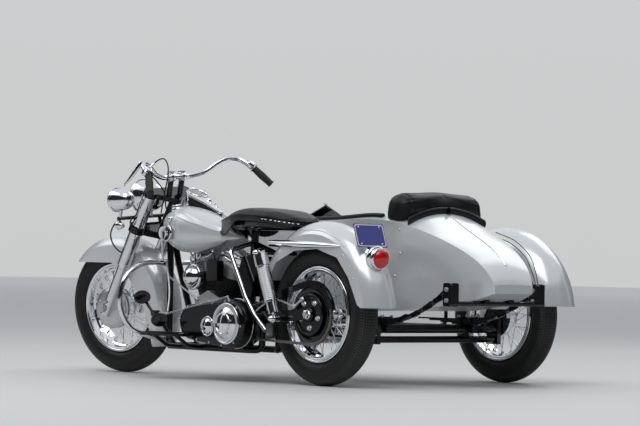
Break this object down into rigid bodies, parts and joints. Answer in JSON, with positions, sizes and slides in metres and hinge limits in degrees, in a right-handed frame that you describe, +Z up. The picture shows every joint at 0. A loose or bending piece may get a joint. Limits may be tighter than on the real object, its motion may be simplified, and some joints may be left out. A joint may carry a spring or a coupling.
{
  "type": "sidecar motorcycle",
  "caption": "Heavy twin-cylinder touring motorcycle with telescopic fork, deep fenders and a boat-shaped passenger sidecar on its right.",
  "frame": {"origin": "on the ground, under the middle of the whole outfit's plan", "axes": "+X forward along the motorcycle, +Y to the rider's left, +Z up; the sidecar is on the right"},
  "size_m": [2.4084, 1.7247, 1.0856],
  "materials": {
    "silver_paint": "gloss",
    "black_paint": "gloss",
    "frame_paint": "gloss",
    "bright_chrome": "polished",
    "cast_alloy": "cast",
    "polished_alloy": "polished",
    "bright_steel": "brushed",
    "tyre_rubber": "matte",
    "grip_rubber": "matte",
    "black_leather": "satin",
    "plate_paint": "gloss"
  },
  "bodies": {
    "motorcycle": {"frame": "frame_paint", "swing_arm": "frame_paint", "rear_shocks": "bright_chrome", "rear_fender": "silver_paint", "crankcase": "cast_alloy", "cylinders": "frame_paint", "cylinder_heads": "cast_alloy", "rocker_covers": "bright_chrome", "primary_cover": "black_paint", "clutch_covers": "bright_chrome", "gearbox": "cast_alloy", "chain": "bright_steel", "chain_guard": "black_paint", "exhaust": "bright_chrome", "horn": "bright_chrome", "coil_box": "black_paint", "carburettor": "bright_chrome", "kick_starter": "bright_chrome", "fuel_tanks": "silver_paint", "dash": "bright_chrome", "saddle": "black_leather", "oil_tank": "black_paint", "side_brace": "bright_chrome", "footboards": "black_paint", "crash_bar": "bright_chrome", "shift_lever": "bright_chrome", "rocker_pedal": "bright_chrome", "fender_rail": "bright_chrome", "tail_lamp": "bright_chrome", "number_plate": "plate_paint", "sidecar_body": "silver_paint", "sidecar_cowl": "silver_paint", "sidecar_seat": "black_leather", "backrest_roll": "black_leather", "sidecar_springs": "frame_paint", "sidecar_shackles": "frame_paint", "sidecar_chassis": "frame_paint", "sidecar_fender": "silver_paint"},
    "fork": {"fork_sliders": "polished_alloy", "fork_yokes": "bright_chrome", "fork_covers": "bright_chrome", "handlebar": "bright_chrome", "grips": "grip_rubber", "headlamp": "bright_chrome", "passing_lamps": "bright_chrome", "front_fender": "silver_paint", "front_brake_plate": "polished_alloy"},
    "front_wheel": {"front_tyre": "tyre_rubber", "front_wheel_rim": "bright_chrome"},
    "rear_wheel": {"rear_tyre": "tyre_rubber", "rear_wheel_rim": "bright_chrome"},
    "sidecar_wheel": {"sidecar_tyre": "tyre_rubber", "sidecar_wheel_rim": "bright_chrome"}
  },
  "joints": [
    {"name": "steering", "type": "hinge", "parent": "motorcycle", "child": "fork", "pos_m": [0.81918, 0.4537, 0.293], "axis": [-0.5, 0, 0.866], "range_deg": [-45.5, 26.5]},
    {"name": "front_wheel_spin", "type": "hinge", "parent": "fork", "child": "front_wheel", "pos_m": [0.87897, 0.46525, 0.32752], "axis": [-0.1429, 0.9863, -0.0825], "continuous": true},
    {"name": "rear_wheel_spin", "type": "hinge", "parent": "motorcycle", "child": "rear_wheel", "pos_m": [-0.6442, 0.4537, 0.328], "axis": [0, 1, 0], "continuous": true},
    {"name": "sidecar_wheel_spin", "type": "hinge", "parent": "motorcycle", "child": "sidecar_wheel", "pos_m": [-0.5892, -0.7563, 0.328], "axis": [0, 1, 0], "continuous": true}
  ]
}
